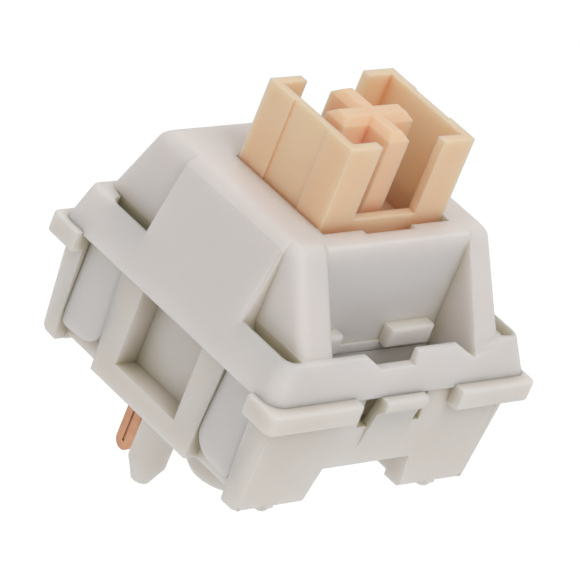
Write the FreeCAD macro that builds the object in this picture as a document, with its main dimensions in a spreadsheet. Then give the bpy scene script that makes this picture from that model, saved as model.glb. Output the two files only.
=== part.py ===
import FreeCAD, Part
import os

import Sketcher
from FreeCAD import Placement, Rotation, Vector

# Mechanical keyboard switch, in mm. +Z is up, +X is right, and -Y is the side with the lamp slot.
# The origin is on the centre post's axis, in the plane of the board that the switch stands on.

DIMS = [
    ("flange_side", 15.6, "side of the square flange"),
    ("flange_bottom", 5.0, "underside of the flange, which rests on the plate"),
    ("flange_top", 6.0, "top of the flange, where the top housing sits"),
    ("flange_radius", 0.35, "corner radius of the flange"),
    ("flange_edge", 0.14, "rounding of the flange's upper and lower edges"),
    ("flange_run", 1.9, "length of a flange corner along Y"),
    ("flange_run_left", 5.15, "length of a flange corner along X, on the -X side"),
    ("flange_run_right", 4.5, "length of a flange corner along X, on the +X side"),
    ("flange_reach", 0.81, "how far the flange stands out from the body"),
    ("body_draft", 0.28, "how much each side of the body draws in from its top to its foot"),
    ("lap", 0.1, "how far a piece runs into the one it is joined to"),
    ("body_edge", 0.2, "rounding of the body's lower edge"),
    ("groove_wide", 0.24, "width of the shallow upright groove beside a corner"),
    ("groove_deep", 0.1, "depth of that groove"),
    ("groove_in", 0.41, "middle of that groove, from the side of the body"),
    ("body_radius", 0.4, "corner radius of the body"),
    ("leg_bottom", 0.5, "underside of the corner legs"),
    ("floor_bottom", 0.7, "underside of the floor and of the side frames"),
    ("floor_top", 1.6, "inside of the floor"),
    ("leg_run", 1.09, "run of the legs along Y, from the body face"),
    ("side_wall", 1.79, "side wall of the chamber"),
    ("inner_front", 3.9, "distance of the chamber's front wall from the middle"),
    ("rear_wall", 0.84, "rear wall of the chamber"),
    ("lamp_x", 4.2, "half width of the lamp chamber"),
    ("lamp_wall", 0.79, "wall in front of the lamp chamber"),
    ("lamp_rear", 4.3, "rear of the lamp chamber"),
    ("lamp_floor", 3.0, "floor of the lamp chamber"),
    ("lead_x", 1.27, "lamp lead hole, distance from the middle"),
    ("lead_y", 5.08, "lamp lead hole, distance towards the front"),
    ("lead_hole_r", 0.5, "lamp lead hole, radius"),
    ("notch_top", 2.2, "top of the notch in the front lower edge"),
    ("notch_half_top", 2.6, "half width of the notch at its top"),
    ("notch_half_bottom", 2.9, "half width of the notch at its foot"),
    ("notch_depth", 2.5, "how far the notch runs in"),
    ("pocket_half", 2.06, "half width of the pocket in a side frame"),
    ("pocket_bottom", 1.8, "bottom of that pocket"),
    ("pocket_depth", 1.24, "depth of that pocket"),
    ("frame_half", 3.6, "half width of a side frame at its top"),
    ("frame_taper", 0.3, "how much each edge of a side frame draws in towards its foot"),
    ("bay_depth", 0.79, "depth of the bay of a latch leg"),
    ("bay_in", 1.04, "end of that bay, from the body face"),
    ("catch_half", 0.6, "half width of the catch window behind a latch leg"),
    ("catch_low", 1.9, "bottom of the catch window"),
    ("catch_high", 2.9, "top of the catch window"),
    ("catch_depth", 0.4, "depth of the catch window in the wall of the bay"),
    ("tongue_half", 1.1, "reach of a plate clip tongue towards -X"),
    ("tongue_right", 1.38, "reach of that tongue towards +X"),
    ("tongue_root", 2.6, "height at which a tongue leaves the body"),
    ("tongue_slot", 0.6, "width of the slot beside a tongue"),
    ("tongue_low", 4.3, "bottom of the slots beside a tongue"),
    ("tongue_space", 0.69, "depth of the space behind a tongue"),
    ("tongue_thick", 0.42, "thickness of a tongue"),
    ("tongue_top", 5.9, "top of a tongue"),
    ("tongue_neck", 0.38, "reach of a tongue from the body, just under its lip"),
    ("tongue_neck_z", 5.05, "height of that place"),
    ("tongue_lip", 0.73, "reach from the body of the lip on top of a tongue"),
    ("tongue_lip_z", 5.4, "bottom of the lip's outer face"),
    ("tongue_bevel", 0.1, "bevel on top of that lip"),
    ("tongue_top_in", 0.15, "slope of the back of the tongue"),
    ("nub_x", 4.83, "standoff nub, distance along X"),
    ("nub_in", 0.59, "middle of a standoff nub, from the body face"),
    ("nub_r", 0.42, "radius of a standoff nub"),
    ("post_r", 1.99, "radius of the centre post"),
    ("post_end", 3.3, "length of the centre post below the board plane"),
    ("post_taper", 0.5, "length of the taper at its end"),
    ("post_tip_r", 1.6, "radius of its end"),
    ("side_post_x", 5.08, "side post, distance from the middle"),
    ("side_post_r", 0.85, "radius of a side post"),
    ("side_post_end", 2.95, "length of a side post below the board plane"),
    ("side_post_taper", 0.95, "length of the taper at its end"),
    ("side_post_tip_r", 0.42, "radius of its end"),
    ("tower_r", 1.5, "radius of the tower inside the spring"),
    ("tower_top", 4.4, "top of that tower"),
    ("bore_r", 1.05, "bore that guides the stem's pole"),
    ("bore_end", 2.95, "depth of that bore below the board plane"),
    ("rail_gap", 0.65, "half the gap between two guide ribs"),
    ("rib_width", 0.6, "width of a guide rib"),
    ("rib_depth", 1.1, "depth of a guide rib"),
    ("roof_top", 11.6, "top of the top housing"),
    ("roof_bottom", 10.6, "underside of its roof"),
    ("slope_base", 6.75, "height at which its sloping faces end"),
    ("core_in", 2.08, "how far the tower block draws in at its top, from the side of the skirt"),
    ("core_top_front", 3.95, "front edge of its top"),
    ("core_front_in", 0.35, "front edge of its base, from the front of the skirt"),
    ("core_top_in", 2.0, "rear edge of its top, from the rear of the skirt"),
    ("core_rear_in", 0.7, "rear edge of its base, from the rear of the skirt"),
    ("core_round", 0.85, "rounding of its upright corners"),
    ("core_edge", 0.7, "rounding of its top edges"),
    ("panel_half", 3.35, "half width of the sloping side panel"),
    ("panel_top_edge", 0.98, "rounding of that panel's top edge, which starts where the block's does"),
    ("panel_edge", 0.2, "rounding of its sloping edges"),
    ("latch_seat", 0.2, "how far a latch leg runs up into the skirt"),
    ("slot_half", 4.25, "half width of the lamp slot"),
    ("slot_back", 4.15, "back wall of the lamp slot"),
    ("slot_edge", 0.12, "rounding of the roof edge over the lamp slot"),
    ("ledge_top", 6.5, "top of the thin ledge at the foot of that wall"),
    ("ledge", 0.12, "depth of that ledge"),
    ("bar_thick", 0.75, "inner face of the bar in front of the lamp slot, from the front of the skirt"),
    ("skirt_in", 0.3, "how far the skirt sits in from the flange on the +X and -X sides"),
    ("skirt_in_front", 0.55, "how far it sits in at the front"),
    ("skirt_in_rear", 0.45, "how far it sits in at the rear"),
    ("skirt_lean", 0.5, "how much its front and rear draw in towards its top"),
    ("skirt_low", 6.0, "underside of the skirt"),
    ("skirt_top", 7.75, "top of the skirt"),
    ("skirt_radius", 1.0, "corner radius of the skirt"),
    ("skirt_edge", 0.2, "rounding of the skirt's top edge"),
    ("notch_left", 2.4, "start of the notch in the bar in front of the lamp slot, towards -X"),
    ("notch_ramp", 1.0, "run of the slope down into that notch"),
    ("notch_right", 0.6, "upright end of that notch, towards +X"),
    ("bar_notch", 7.1, "floor of that notch"),
    ("fall_start", 3.0, "start of the bar's slope at its +X end"),
    ("fall_run", 1.1, "run of that slope"),
    ("recess_wall", 0.75, "outer wall of a corner recess, from the side of the skirt"),
    ("recess_in", 1.95, "inner wall of a corner recess, from the side of the skirt"),
    ("recess_radius", 0.6, "rounding of its outer corner"),
    ("recess_front", 0.75, "end of a front corner recess, from the front of the skirt"),
    ("recess_rear", 1.45, "end of a rear corner recess, from the rear of the skirt"),
    ("recess_floor", 6.4, "floor of a corner recess"),
    ("latch_in", 0.71, "inner face of a latch leg, from the body face"),
    ("latch_out", 0.12, "how far a latch leg lies behind the body face"),
    ("latch_gap", 0.05, "gap on each side of a latch leg in its bay"),
    ("latch_low", 1.6, "lower end of a latch leg"),
    ("latch_round", 0.42, "rounding of its lower end, as a share of its width"),
    ("hook_reach", 0.35, "how far the hook on a latch leg reaches in"),
    ("hook_gap", 0.1, "gap between the hook and each end of its catch window"),
    ("hook_low", 2.0, "bottom of that hook"),
    ("hook_high", 2.75, "top of that hook"),
    ("chamber_in", 2.75, "side of the space above the shoulder, from the side of the skirt"),
    ("chamber_front", 3.75, "front of that space"),
    ("chamber_rear", 3.65, "rear of that space"),
    ("contact_in", 3.3, "side of the upper contact space, from the side of the skirt"),
    ("contact_rear", 1.85, "rear of the upper contact space, from the rear of the skirt"),
    ("contact_top", 8.7, "top of the upper contact space"),
    ("lower_rear", 1.4, "rear of the lower contact space, from the rear of the skirt"),
    ("lower_top", 7.4, "top of the lower contact space"),
    ("window_x", 3.74, "half width of the opening for the stem"),
    ("window_front", 3.12, "front edge of that opening"),
    ("window_rear", 2.9, "rear edge of that opening"),
    ("relief_half", 1.45, "half width of the relief in its front edge"),
    ("relief_front", 3.4, "front edge of that relief"),
    ("lug_left", 1.85, "inner edge of the left lug in the lamp slot"),
    ("lug_left_far", 4.0, "outer edge of that lug"),
    ("lug_right", 1.05, "inner edge of the right lug"),
    ("lug_right_far", 3.6, "outer edge of that lug"),
    ("lug_low", 6.4, "underside of a lug"),
    ("lug_round", 0.2, "rounding of a lug"),
    ("lug_front", 4.8, "front face of a lug"),
    ("lug_top", 7.35, "top of a lug"),
    ("stem_x", 3.64, "half width of the stem"),
    ("stem_y", 2.78, "half depth of the stem"),
    ("stem_top", 15.5, "top of the stem"),
    ("stem_wall", 0.44, "thickness of its dust walls"),
    ("stem_tip", 1.84, "tip of a return flange, from the middle"),
    ("stem_panel", 1.15, "half length of the shallow recess outside a dust wall"),
    ("stem_panel_depth", 0.1, "depth of that recess"),
    ("stem_bar_top", 11.9, "top of the low bars between the dust walls"),
    ("stem_deck", 10.6, "floor between the dust walls"),
    ("cross_long_x", 2.05, "half length of the cross along X"),
    ("cross_long_y", 2.0, "half length of the cross along Y"),
    ("cross_thick_x", 0.585, "half thickness of the blade along Y"),
    ("cross_thick_y", 0.6, "half thickness of the blade along X"),
    ("cross_lead", 0.3, "lead-in chamfer of the cross"),
    ("cross_top", 15.42, "top of the cross"),
    ("shoulder_x", 4.6, "half width of the stem's shoulder"),
    ("shoulder_y", 3.55, "half depth of the stem's shoulder"),
    ("stop_gap", 0.05, "gap left where the stem stops, above and below"),
    ("shoulder_low", 9.75, "underside of the shoulder"),
    ("slider_x", 3.4, "half width of the slider below the shoulder"),
    ("slider_y", 3.15, "half depth of the slider"),
    ("rail_reach", 4.6, "reach of a guide rail"),
    ("rail_half", 0.55, "half width of a guide rail"),
    ("well_r", 2.4, "radius of the spring's well in the stem"),
    ("well_top", 9.9, "top of that well"),
    ("pole_r", 0.97, "radius of the stem's pole"),
    ("cam_x", 1.7, "cam leg, distance from the middle"),
    ("cam_half", 0.4, "half width of a cam leg"),
    ("cam_reach", 4.3, "reach of a cam leg's nose"),
    ("cam_low", 6.6, "lower end of a cam leg"),
    ("cam_high", 8.4, "upper end of a cam leg"),
    ("cam_slope", 0.5, "height of the slope under the nose of a cam leg"),
    ("cam_nose", 0.3, "height of that nose"),
    ("travel", 4.0, "travel of the stem"),
    ("spring_r", 1.95, "mean radius of the spring"),
    ("wire_r", 0.12, "radius of its wire"),
    ("spring_turns", 8, "number of turns"),
    ("spring_seat", 0.01, "gap between the spring and each of its seats"),
    ("sheet", 0.3, "thickness of the fixed contact"),
    ("leaf", 0.16, "thickness of the moving contact"),
    ("pin_wide", 0.9, "width of a contact pin"),
    ("pin_thick", 0.5, "thickness of a contact pin, folded double"),
    ("pin_groove", 0.08, "depth of the fold line along a pin"),
    ("groove_half", 0.06, "half width of that fold line"),
    ("groove_start", 0.4, "plain length at the end of the pin"),
    ("pin_end", 3.3, "length of a contact pin below the board plane"),
    ("fixed_x", 3.81, "fixed contact's pin, distance towards -X"),
    ("fixed_y", 2.54, "fixed contact's pin, distance towards +Y"),
    ("moving_x", 2.54, "moving contact's pin, distance towards +X"),
    ("moving_y", 5.08, "moving contact's pin, distance towards +Y"),
    ("plate_y", 3.7, "front face of the fixed contact's plate"),
    ("plate_half", 0.85, "half width of that plate"),
    ("plate_top", 7.0, "top of that plate"),
    ("wing_top", 2.5, "top of the wing that joins plate and pin"),
    ("wing_low", 1.75, "bottom of that wing"),
    ("arm_y", 4.65, "front face of the moving contact's arm"),
    ("arm_low", 5.5, "bottom of that arm"),
    ("arm_top", 7.3, "top of that arm"),
    ("arm_end", 2.2, "free end of that arm"),
    ("back_y", 5.3, "front face of the moving contact's back strip"),
    ("fold_x", 3.0, "fold between strip and arm, distance towards -X"),
    ("prong_y", 4.33, "front face of the two prongs"),
    ("prong_half", 0.3, "half width of a prong"),
    ("prong_high", 0.5, "height of a prong"),
    ("point_z", 6.4, "height of the two contact points"),
    ("point_r", 0.35, "radius of a contact point"),
    ("point_high", 0.14, "height of a contact point"),
    ("point_tip", 0.75, "radius of its face, as a share of its radius"),
    ("slot_clear", 0.06, "clearance round a pin in the floor"),
]

doc = FreeCAD.newDocument("switch")
dims = doc.addObject("Spreadsheet::Sheet", "dims")
for row, (alias, value, note) in enumerate(DIMS, start=1):
    dims.set(f"A{row}", note)
    dims.set(f"B{row}", str(value))
    dims.setAlias(f"B{row}", alias)
doc.recompute()


def size(expression):
    """Puts the sheet's name before each alias in an expression."""
    words = {alias for alias, _, _ in DIMS}
    out = ""
    word = ""
    for letter in expression + " ":
        if letter.isalnum() or letter == "_":
            word += letter
            continue
        out += "dims." + word if word in words else word
        out += letter
        word = ""
    return out.strip()


def evaluate(expression):
    """The present value of an expression in the sheet's aliases."""
    return float(dims.evalExpression(size(expression)))


def bind(thing, **sizes):
    for prop, expression in sizes.items():
        thing.setExpression(prop, size(str(expression)))


def put(thing, x, y, z):
    for axis, expression in zip("xyz", (x, y, z)):
        thing.setExpression("Placement.Base." + axis, size(str(expression)))


def box(name, x, y, z, home=None):
    """A box between two positions on each axis, on its own or as a feature of a body."""
    if home is None:
        thing = doc.addObject("Part::Box", name)
    else:
        thing = home.newObject("PartDesign::AdditiveBox", name)
    bind(thing, Length=f"({x[1]}) - ({x[0]})", Width=f"({y[1]}) - ({y[0]})", Height=f"({z[1]}) - ({z[0]})")
    put(thing, x[0], y[0], z[0])
    return thing


def pocket(name, x, y, z, home):
    """A box-shaped cut in a body."""
    thing = home.newObject("PartDesign::SubtractiveBox", name)
    bind(thing, Length=f"({x[1]}) - ({x[0]})", Width=f"({y[1]}) - ({y[0]})", Height=f"({z[1]}) - ({z[0]})")
    put(thing, x[0], y[0], z[0])
    home.Tip = thing
    return thing


def cylinder(name, radius, x, y, z):
    thing = doc.addObject("Part::Cylinder", name)
    bind(thing, Radius=radius, Height=f"({z[1]}) - ({z[0]})")
    put(thing, x, y, z[0])
    return thing


def cone(name, low_radius, high_radius, x, y, z):
    thing = doc.addObject("Part::Cone", name)
    bind(thing, Radius1=low_radius, Radius2=high_radius, Height=f"({z[1]}) - ({z[0]})")
    put(thing, x, y, z[0])
    return thing


def ball(name, radius, x, y, z):
    thing = doc.addObject("Part::Sphere", name)
    bind(thing, Radius=radius)
    put(thing, x, y, z)
    return thing


def frustum(name, low, high, z, home=None):
    """A block with sloping sides. low and high are (x0, x1, y0, y1) at the two heights in z."""
    kind = "Part::Wedge" if home is None else "PartDesign::AdditiveWedge"
    thing = doc.addObject(kind, name) if home is None else home.newObject(kind, name)
    thing.Placement = Placement(Vector(0, 0, 0), Rotation(Vector(1, 0, 0), 90))
    bind(thing, Xmin=low[0], Xmax=low[1], Zmin=f"-({low[3]})", Zmax=f"-({low[2]})")
    bind(thing, X2min=high[0], X2max=high[1], Z2min=f"-({high[3]})", Z2max=f"-({high[2]})")
    bind(thing, Ymin=z[0], Ymax=z[1])
    return thing


def fuse(name, shapes):
    thing = doc.addObject("Part::MultiFuse", name)
    thing.Shapes = shapes
    thing.Refine = True
    return thing


def cut(name, base, tools):
    thing = doc.addObject("Part::Cut", name)
    thing.Base = base
    thing.Tool = tools[0] if len(tools) == 1 else fuse(name + "_away", tools)
    thing.Refine = True
    return thing


def body(name):
    return doc.addObject("PartDesign::Body", name)


def round_edges(home, base, name, radius, wanted):
    """Rounds the edges of a body's last feature for which wanted(middle, direction) holds."""
    doc.recompute()
    chosen = []
    for index, edge in enumerate(base.Shape.Edges, start=1):
        if not isinstance(edge.Curve, Part.Line):
            continue
        middle = edge.valueAt((edge.FirstParameter + edge.LastParameter) / 2)
        if wanted(middle, edge.tangentAt(edge.FirstParameter)):
            chosen.append(f"Edge{index}")
    fillet = home.newObject("PartDesign::Fillet", name)
    fillet.Base = (base, chosen)
    bind(fillet, Radius=radius)
    home.Tip = fillet
    return fillet


def upright(middle, direction):
    return abs(direction.z) > 0.8


def extrude(name, outline, x):
    """A solid with an outline of (y, z) pairs, bound to the sheet, run from x[0] to x[1]."""
    home = body(name)
    sketch = home.newObject("Sketcher::SketchObject", name + "_outline")
    plane = next(f for f in home.Origin.OriginFeatures if f.Role == "YZ_Plane")
    sketch.AttachmentSupport = [(plane, "")]
    sketch.MapMode = "FlatFace"
    sketch.setExpression("AttachmentOffset.Base.z", size(x[0]))
    spots = [tuple(evaluate(p) for p in pair) for pair in outline]
    count = len(spots)
    for i in range(count):
        start = Vector(*spots[i], 0)
        end = Vector(*spots[(i + 1) % count], 0)
        sketch.addGeometry(Part.LineSegment(start, end), False)
    for i in range(count):
        sketch.addConstraint(Sketcher.Constraint("Coincident", i, 2, (i + 1) % count, 1))
    for i, pair in enumerate(outline):
        for kind, expression, value in zip(("DistanceX", "DistanceY"), pair, spots[i]):
            index = sketch.addConstraint(Sketcher.Constraint(kind, -1, 1, i, 1, value))
            sketch.setExpression(f"Constraints[{index}]", size(expression))
    pad = home.newObject("PartDesign::Pad", name + "_pad")
    pad.Profile = sketch
    bind(pad, Length=f"({x[1]}) - ({x[0]})")
    home.Tip = pad
    return home


FLANGE = "flange_side / 2"
BODY = "(flange_side / 2 - flange_reach)"
FOOT = "(flange_side / 2 - flange_reach - body_draft)"
INNER_X = "(flange_side / 2 - flange_reach - side_wall)"
SKIRT_X = "(flange_side / 2 - skirt_in)"
SKIRT_FRONT = "(flange_side / 2 - skirt_in_front)"
SKIRT_REAR = "(flange_side / 2 - skirt_in_rear)"
CORE_X = f"({SKIRT_X} - core_in)"
CORE_FOOT = f"({SKIRT_X} - recess_in)"
BAY_BACK = f"({BODY} - bay_depth)"
BAY_END = f"({BODY} - bay_in)"
SIDES = [(-1, "l"), (1, "r")]
ENDS = [(-1, "f"), (1, "b")]
OVER = 1.0
SLIDER_LOW = "floor_top + travel + stop_gap"
POLE_END = "travel + 2 * stop_gap - bore_end"
RIB_TOP = "shoulder_low - travel - 2 * stop_gap"
PANEL_LEAN = "core_in * (skirt_top - skirt_low) / (roof_top - skirt_low)"


def span(sign, near, far):
    """The two positions from near to far on one side of the middle, in rising order."""
    return (near, far) if sign > 0 else (f"-({far})", f"-({near})")


def both(half):
    return (f"-({half})", half)


def block(name, half_x, half_y, z, radius):
    """A box centred on the axis with rounded upright corners."""
    home = body(name)
    base = box(name + "_box", both(half_x), both(half_y), z, home)
    round_edges(home, base, name + "_corners", radius, upright)
    return home


def finish(thing, label):
    thing.Label = label
    return thing


def tongue(sign, tag):
    """A plate clip: a springy tongue that leans out from the body, with a lip on top."""
    neck = f"{BODY} + tongue_neck"
    lip = f"{BODY} + tongue_lip"
    outline = [
        (f"{BODY} - tongue_space", "tongue_root"),
        (FOOT, "tongue_root"),
        (neck, "tongue_neck_z"),
        (lip, "tongue_lip_z"),
        (lip, "tongue_top - tongue_bevel"),
        (f"{lip} - tongue_bevel", "tongue_top"),
        (f"{neck} - tongue_thick + tongue_top_in", "tongue_top"),
        (f"{BODY} - tongue_thick", "tongue_low"),
        (f"{BODY} - tongue_space", "tongue_low"),
    ]
    if sign < 0:
        outline = [(f"-({y})", z) for y, z in outline]
    return extrude("tongue_" + tag, outline, ("-tongue_half", "tongue_right"))


def base_flange():
    """The flange's four corners, with the gaps between them cut back into the body."""
    home = body("base_flange")
    back = f"{BODY} - lap"
    beyond = f"{FLANGE} + {OVER}"
    middle = (f"flange_run_left - {FLANGE}", f"{FLANGE} - flange_run_right")
    z = ("flange_bottom", "flange_top")
    last = box("base_flange_plate", both(FLANGE), both(FLANGE), z, home)
    for sign, tag in SIDES:
        last = pocket("base_flange_gap_" + tag, span(sign, back, beyond), both(f"{FLANGE} - flange_run"), z, home)
        last = pocket("base_flange_open_" + tag, middle, span(sign, back, beyond), z, home)
    reach = evaluate(FLANGE)

    def corner(middle, direction):
        return upright(middle, direction) and min(abs(middle.x), abs(middle.y)) > reach - 0.01

    last = round_edges(home, last, "base_flange_corners", "flange_radius", corner)

    def rim(middle, direction):
        return max(abs(middle.x), abs(middle.y)) > reach - 0.01 and abs(direction.z) < 0.1

    round_edges(home, last, "base_flange_rims", "flange_edge", rim)
    return home


def base_block():
    """The body's outer block, drawn in towards its foot, with rounded corners and lower edge."""
    home = body("base_block")
    wedge = frustum("base_block_wedge", both(FOOT) + both(FOOT), both(BODY) + both(BODY),
                    ("leg_bottom", "flange_top"), home)
    corners = round_edges(home, wedge, "base_block_corners", "body_radius", upright)
    low = evaluate("leg_bottom")

    def foot(middle, direction):
        return abs(middle.z - low) < 0.01

    round_edges(home, corners, "base_block_foot", "body_edge", foot)
    return home


def base_hollows():
    """What is cut out of the bottom housing's block before the posts and clips are added."""
    edge = f"{BODY} + {OVER}"
    above = f"flange_top + {OVER}"
    below = f"leg_bottom - {OVER}"
    inner = f"notch_depth - {BODY}"
    whole = ("leg_bottom", "flange_top")
    away = [
        box("base_inside", both(INNER_X), ("-inner_front", f"{BODY} - rear_wall"), ("floor_top", above)),
        box("base_lamp", both("lamp_x"), (f"lamp_wall - {BODY}", "-lamp_rear"), ("lamp_floor", above)),
        box("base_under", both(edge), both(f"{BODY} - leg_run"), (below, "floor_bottom")),
        frustum(
            "base_notch",
            ("-notch_half_bottom", "notch_half_bottom", f"-({edge})", inner),
            ("-notch_half_top", "notch_half_top", f"-({edge})", inner),
            ("leg_bottom", "notch_top"),
        ),
    ]
    for sx, tx in SIDES:
        away.append(box("base_pocket_" + tx, span(sx, f"{BODY} - pocket_depth", edge), both("pocket_half"),
                        ("pocket_bottom", above)))
        away.append(cylinder("base_lead_" + tx, "lead_hole_r", f"{sx} * lead_x", "-lead_y",
                             (f"notch_top - {OVER}", f"lamp_floor + {OVER}")))
        for sy, ty in ENDS:
            tag = tx + ty
            bay_x = span(sx, BAY_BACK, edge)
            away.append(frustum("base_bay_" + tag, bay_x + span(sy, "frame_half - frame_taper", BAY_END),
                                bay_x + span(sy, "frame_half", BAY_END), whole))
            middle = f"{sy} * (frame_half + {BAY_END}) / 2"
            catch = (f"{middle} - catch_half", f"{middle} + catch_half")
            away.append(box("base_catch_" + tag, span(sx, f"{BAY_BACK} - catch_depth", f"{BAY_BACK} + {OVER}"),
                            catch, ("catch_low", "catch_high")))
            spot = f"{sx} * ({BODY} - groove_in)"
            groove_x = (f"{spot} - groove_wide / 2", f"{spot} + groove_wide / 2")
            away.append(frustum("base_groove_" + tag, groove_x + span(sy, f"{FOOT} - groove_deep", edge),
                                groove_x + span(sy, f"{BODY} - groove_deep", edge), ("leg_bottom", "flange_bottom")))
    for sy, ty in ENDS:
        away.append(box("base_free_" + ty, ("-tongue_half - tongue_slot", "tongue_right + tongue_slot"),
                        span(sy, f"{BODY} - tongue_space", edge), ("tongue_low", above)))
    return away


def base_posts():
    """The centre post, the two side posts, the tower inside the spring and the small standoffs."""
    turn = "side_post_taper - side_post_end"
    posts = [
        cylinder("base_tower", "tower_r", 0, 0, ("floor_bottom", "tower_top")),
        cylinder("base_post", "post_r", 0, 0, ("post_taper - post_end", "floor_top")),
        cone("base_post_tip", "post_tip_r", "post_r", 0, 0, ("-post_end", "post_taper - post_end")),
    ]
    for sx, tx in SIDES:
        spot = f"{sx} * side_post_x"
        posts.append(cylinder("base_side_" + tx, "side_post_r", spot, 0, (turn, "floor_top")))
        posts.append(cone("base_side_tip_" + tx, "side_post_tip_r", "side_post_r", spot, 0, ("-side_post_end", turn)))
        for sy, ty in ENDS:
            posts.append(ball("base_nub_" + tx + ty, "nub_r", f"{sx} * nub_x", f"{sy} * ({BODY} - nub_in)", "nub_r"))
            posts.append(box("base_rib_" + tx + ty, span(sx, f"{INNER_X} - rib_depth", f"{INNER_X} + lap"),
                             span(sy, "rail_gap", "rail_gap + rib_width"), ("floor_top - lap", RIB_TOP)))
    return posts


def bottom_housing():
    shell = cut("base_shell", fuse("base_solid", [base_block(), base_flange()]), base_hollows())
    clips = [tongue(sign, tag) for sign, tag in ENDS]
    whole = fuse("base_whole", [shell] + base_posts() + clips)
    low = (f"leg_bottom - {OVER}", f"wing_low + {OVER}")
    wide = "pin_wide / 2 + slot_clear"
    thick = "pin_thick / 2 + slot_clear"
    holes = [
        cylinder("base_bore", "bore_r", 0, 0, ("-bore_end", f"tower_top + {OVER}")),
        box("base_pin_fixed", (f"-fixed_x - ({thick})", f"-fixed_x + {thick}"),
            (f"fixed_y - ({wide})", f"fixed_y + {wide}"), low),
        box("base_pin_moving", (f"moving_x - ({wide})", f"moving_x + {wide}"),
            (f"moving_y - ({thick})", f"moving_y + {thick}"), low),
    ]
    return finish(cut("base_done", whole, holes), "bottom_housing")


def top_core():
    """The tower block with its sloping front and rear, rounded edges, and the lamp slot between two fins."""
    home = body("roof_core")
    base = frustum(
        "roof_core_wedge",
        both(CORE_FOOT) + (f"core_front_in - {SKIRT_FRONT}", f"{SKIRT_REAR} - core_rear_in"),
        both(CORE_X) + ("-core_top_front", f"{SKIRT_REAR} - core_top_in"),
        ("slope_base", "roof_top"),
        home,
    )
    top = evaluate("roof_top")
    corners = round_edges(home, base, "roof_core_corners", "core_round", upright)

    def upper(middle, direction):
        return middle.z > top - 0.01

    round_edges(home, corners, "roof_core_edges", "core_edge", upper)
    pocket("roof_core_slot", both("slot_half"), (f"-({SKIRT_FRONT}) - {OVER}", "-slot_back"),
           ("slope_base", f"roof_top + {OVER}"), home)
    brow = box("roof_core_brow", both("slot_half"), ("-slot_back", "-window_front"), ("roof_bottom", "roof_top"), home)
    front = -evaluate("slot_back")

    def lip(middle, direction):
        return upper(middle, direction) and abs(middle.y - front) < 0.01 and abs(direction.x) > 0.9

    round_edges(home, brow, "roof_core_lip", "slot_edge", lip)
    return home


def top_panel():
    """The sloping panel on each side, from the roof's edge down to the foot of the skirt."""
    home = body("roof_panel")
    base = frustum(
        "roof_panel_wedge",
        both(SKIRT_X) + both("panel_half"),
        both(CORE_X) + both("panel_half"),
        ("skirt_low", "roof_top"),
        home,
    )
    top = evaluate("roof_top")

    def along(middle, direction):
        return middle.z > top - 0.01 and abs(direction.y) > 0.9

    def sloping(middle, direction):
        return 0.2 < abs(direction.x) < 0.8

    crest = round_edges(home, base, "roof_panel_crest", "panel_top_edge", along)
    round_edges(home, crest, "roof_panel_sides", "panel_edge", sloping)
    return home


def top_skirt():
    """The skirt, whose sides lean in with the panels."""
    home = body("roof_skirt")
    base = frustum(
        "roof_skirt_wedge",
        both(SKIRT_X) + (f"-({SKIRT_FRONT})", SKIRT_REAR),
        both(f"{SKIRT_X} - {PANEL_LEAN}") + (f"skirt_lean - {SKIRT_FRONT}", f"{SKIRT_REAR} - skirt_lean"),
        ("skirt_low", "skirt_top"),
        home,
    )
    corners = round_edges(home, base, "roof_skirt_corners", "skirt_radius", upright)
    top = evaluate("skirt_top")

    def upper(middle, direction):
        return middle.z > top - 0.01

    round_edges(home, corners, "roof_skirt_edge", "skirt_edge", upper)
    return home


def corner_recess(sx, sy, tag):
    """The hollow between a fin, a panel and the skirt's corner."""
    home = body("roof_recess_" + tag)
    end = f"{SKIRT_FRONT} - recess_front" if sy < 0 else f"{SKIRT_REAR} - recess_rear"
    outer_x = f"{SKIRT_X} - recess_wall"
    base = box("roof_recess_box_" + tag, span(sx, CORE_FOOT, outer_x), span(sy, "panel_half", end),
               ("recess_floor", f"skirt_top + {OVER}"), home)
    reach_x = evaluate(outer_x)
    reach_y = evaluate(end)

    def outer(middle, direction):
        return upright(middle, direction) and abs(middle.x) > reach_x - 0.01 and abs(middle.y) > reach_y - 0.01

    round_edges(home, base, "roof_recess_corner_" + tag, "recess_radius", outer)
    return home


def bar_cuts():
    """The notch in the bar in front of the lamp slot, and the slope at the bar's +X end."""
    y = (f"-({SKIRT_FRONT}) - {OVER}", "-slot_back")
    high = f"skirt_top + {OVER}"
    rise = f"({high} - bar_notch) / (skirt_top - bar_notch)"
    fall = f"fall_run * {rise}"
    return [
        frustum(
            "roof_notch",
            ("notch_ramp - notch_left", "notch_right") + y,
            (f"notch_ramp - notch_left - notch_ramp * {rise}", "notch_right") + y,
            ("bar_notch", high),
        ),
        frustum(
            "roof_fall",
            ("fall_start + fall_run", "slot_half") + y,
            (f"fall_start + fall_run - {fall}", "slot_half") + y,
            ("bar_notch", high),
        ),
    ]


def lug(name, x):
    """A softly rounded lug on the back wall of the lamp slot, over the lamp."""
    home = body(name)
    base = box(name + "_box", x, ("-lug_front", "lap - slot_back"), ("lug_low", "lug_top"), home)
    front = -evaluate("lug_front")

    def edge(middle, direction):
        return middle.y < front + 0.01

    round_edges(home, base, name + "_round", "lug_round", edge)
    return home


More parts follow.
